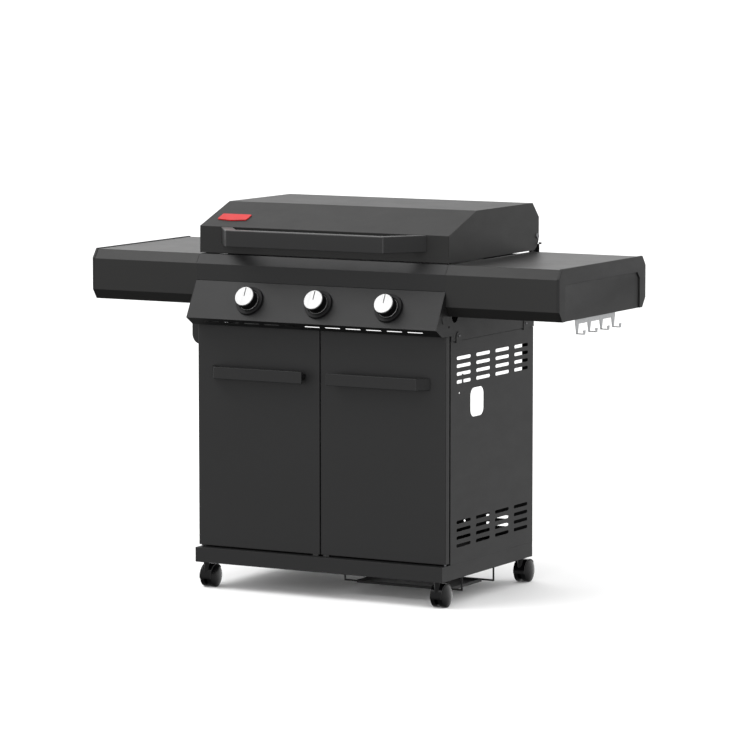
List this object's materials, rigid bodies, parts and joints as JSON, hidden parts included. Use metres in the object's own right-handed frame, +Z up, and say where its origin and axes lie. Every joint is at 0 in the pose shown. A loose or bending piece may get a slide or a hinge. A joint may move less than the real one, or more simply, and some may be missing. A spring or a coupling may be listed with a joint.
{
  "type": "gas barbecue grill",
  "caption": "Gas barbecue grill on a closed cabinet with a low hinged hood, folded-sheet side shelves, slotted side panels, doors and swivel casters.",
  "frame": {"origin": "on the floor, under the middle of the grill's box", "axes": "+X to the grill's right seen from its front, -Y to the front, +Z up"},
  "size_m": [1.4, 0.614, 1.0237],
  "materials": {
    "powder_coat": "satin black powder coat",
    "panel_coat": "satin charcoal powder coat",
    "shelf_coat": "satin charcoal powder coat",
    "hood_coat": "satin black powder coat",
    "door_coat": "satin black powder coat",
    "handle_coat": "satin black powder coat",
    "enamel": "gloss black vitreous enamel",
    "burner_steel": "brushed stainless steel",
    "grate_iron": "seasoned matt",
    "zinc_steel": "zinc plated",
    "tray_aluminium": "rolled",
    "brass": "machined",
    "knob_plastic": "moulded matt black",
    "bezel_plastic": "moulded satin black",
    "chrome_cap": "polished",
    "badge_red": "gloss red",
    "end_cap_plastic": "fine texture",
    "caster_plastic": "moulded nylon",
    "wheel_rubber": "matt tread",
    "magnet": "moulded",
    "fastener_steel": "blackened steel"
  },
  "bodies": {
    "cart": {"base_panel": "powder_coat", "side_panel_right": "powder_coat", "side_panel_left": "powder_coat", "rear_panel": "powder_coat", "frame_side_right": "powder_coat", "frame_side_left": "powder_coat", "front_fascia": "panel_coat", "control_panel": "panel_coat", "body_rear_panel": "powder_coat", "firebox": "enamel", "burners": "burner_steel", "flame_tamers": "burner_steel", "cooking_grate_right": "grate_iron", "cooking_grate_left": "grate_iron", "gas_manifold": "zinc_steel", "gas_valves": "brass", "knob_bezels": "bezel_plastic", "hood_hinge_brackets": "powder_coat", "hinge_pins": "fastener_steel", "door_catch": "magnet", "shelf_right": "shelf_coat", "shelf_left": "shelf_coat", "shelf_end_cap_right": "end_cap_plastic", "shelf_end_cap_left": "end_cap_plastic", "hook_rail": "zinc_steel", "bottle_opener": "powder_coat", "match_holder": "zinc_steel", "gas_bottle_tray": "powder_coat", "screws": "fastener_steel", "caster_sockets": "zinc_steel"},
    "hood": {"hood_shell": "hood_coat", "hood_side_right": "hood_coat", "hood_side_left": "hood_coat", "hood_handle": "handle_coat", "badge": "badge_red"},
    "left_door": {"door_left": "door_coat", "door_handle_left": "handle_coat"},
    "right_door": {"door_right": "door_coat", "door_handle_right": "handle_coat"},
    "grease_drawer": {"grease_tray": "tray_aluminium"},
    "valve_plug_1": {"valve_plug_1": "brass"},
    "knob_1": {"valve_stem_1": "zinc_steel", "knob_1": "knob_plastic", "knob_cap_1": "chrome_cap"},
    "valve_plug_2": {"valve_plug_2": "brass"},
    "knob_2": {"valve_stem_2": "zinc_steel", "knob_2": "knob_plastic", "knob_cap_2": "chrome_cap"},
    "valve_plug_3": {"valve_plug_3": "brass"},
    "knob_3": {"valve_stem_3": "zinc_steel", "knob_3": "knob_plastic", "knob_cap_3": "chrome_cap"},
    "caster_front_right": {"caster_fork_front_right": "caster_plastic"},
    "wheels_front_right": {"caster_wheels_front_right": "wheel_rubber"},
    "caster_front_left": {"caster_fork_front_left": "caster_plastic"},
    "wheels_front_left": {"caster_wheels_front_left": "wheel_rubber"},
    "caster_rear_right": {"caster_fork_rear_right": "caster_plastic"},
    "wheels_rear_right": {"caster_wheels_rear_right": "wheel_rubber"},
    "caster_rear_left": {"caster_fork_rear_left": "caster_plastic"},
    "wheels_rear_left": {"caster_wheels_rear_left": "wheel_rubber"}
  },
  "joints": [
    {"name": "hood_hinge", "type": "hinge", "parent": "cart", "child": "hood", "pos_m": [0, 0.29675, 0.9336], "axis": [-1, 0, 0], "range_deg": [0, 90]},
    {"name": "left_door_hinge", "type": "hinge", "parent": "cart", "child": "left_door", "pos_m": [-0.366, -0.212, 0.41], "axis": [0, 0, -1], "range_deg": [0, 100]},
    {"name": "right_door_hinge", "type": "hinge", "parent": "cart", "child": "right_door", "pos_m": [0.366, -0.212, 0.41], "axis": [0, 0, 1], "range_deg": [0, 100]},
    {"name": "grease_tray_slide", "type": "slide", "parent": "cart", "child": "grease_drawer", "axis": [0, 1, 0], "range_m": [0, 0.25]},
    {"name": "knob_1_turn", "type": "hinge", "parent": "cart", "child": "valve_plug_1", "pos_m": [-0.193, -0.25325, 0.7772], "axis": [0, -0.8812, 0.4727], "range_deg": [0, 145]},
    {"name": "knob_1_push", "type": "slide", "parent": "valve_plug_1", "child": "knob_1", "axis": [0, 0.8812, -0.4727], "range_m": [0, 0.003], "stiffness_N_per_m": 2000, "springref_m": -0.002},
    {"name": "knob_2_turn", "type": "hinge", "parent": "cart", "child": "valve_plug_2", "pos_m": [0.015, -0.25325, 0.7772], "axis": [0, -0.8812, 0.4727], "range_deg": [0, 145]},
    {"name": "knob_2_push", "type": "slide", "parent": "valve_plug_2", "child": "knob_2", "axis": [0, 0.8812, -0.4727], "range_m": [0, 0.003], "stiffness_N_per_m": 2000, "springref_m": -0.002},
    {"name": "knob_3_turn", "type": "hinge", "parent": "cart", "child": "valve_plug_3", "pos_m": [0.223, -0.25325, 0.7772], "axis": [0, -0.8812, 0.4727], "range_deg": [0, 145]},
    {"name": "knob_3_push", "type": "slide", "parent": "valve_plug_3", "child": "knob_3", "axis": [0, 0.8812, -0.4727], "range_m": [0, 0.003], "stiffness_N_per_m": 2000, "springref_m": -0.002},
    {"name": "swivel_front_right", "type": "hinge", "parent": "cart", "child": "caster_front_right", "pos_m": [0.3487, -0.2225, 0.07], "axis": [0, 0, 1], "continuous": true},
    {"name": "roll_front_right", "type": "hinge", "parent": "caster_front_right", "child": "wheels_front_right", "pos_m": [0.3487, -0.1995, 0.0295], "axis": [1, 0, 0], "continuous": true},
    {"name": "swivel_front_left", "type": "hinge", "parent": "cart", "child": "caster_front_left", "pos_m": [-0.3487, -0.2225, 0.07], "axis": [0, 0, 1], "continuous": true},
    {"name": "roll_front_left", "type": "hinge", "parent": "caster_front_left", "child": "wheels_front_left", "pos_m": [-0.3487, -0.1995, 0.0295], "axis": [1, 0, 0], "continuous": true},
    {"name": "swivel_rear_right", "type": "hinge", "parent": "cart", "child": "caster_rear_right", "pos_m": [0.3487, 0.25375, 0.07], "axis": [0, 0, 1], "continuous": true},
    {"name": "roll_rear_right", "type": "hinge", "parent": "caster_rear_right", "child": "wheels_rear_right", "pos_m": [0.3487, 0.27675, 0.0295], "axis": [1, 0, 0], "continuous": true},
    {"name": "swivel_rear_left", "type": "hinge", "parent": "cart", "child": "caster_rear_left", "pos_m": [-0.3487, 0.25375, 0.07], "axis": [0, 0, 1], "continuous": true},
    {"name": "roll_rear_left", "type": "hinge", "parent": "caster_rear_left", "child": "wheels_rear_left", "pos_m": [-0.3487, 0.27675, 0.0295], "axis": [1, 0, 0], "continuous": true}
  ]
}
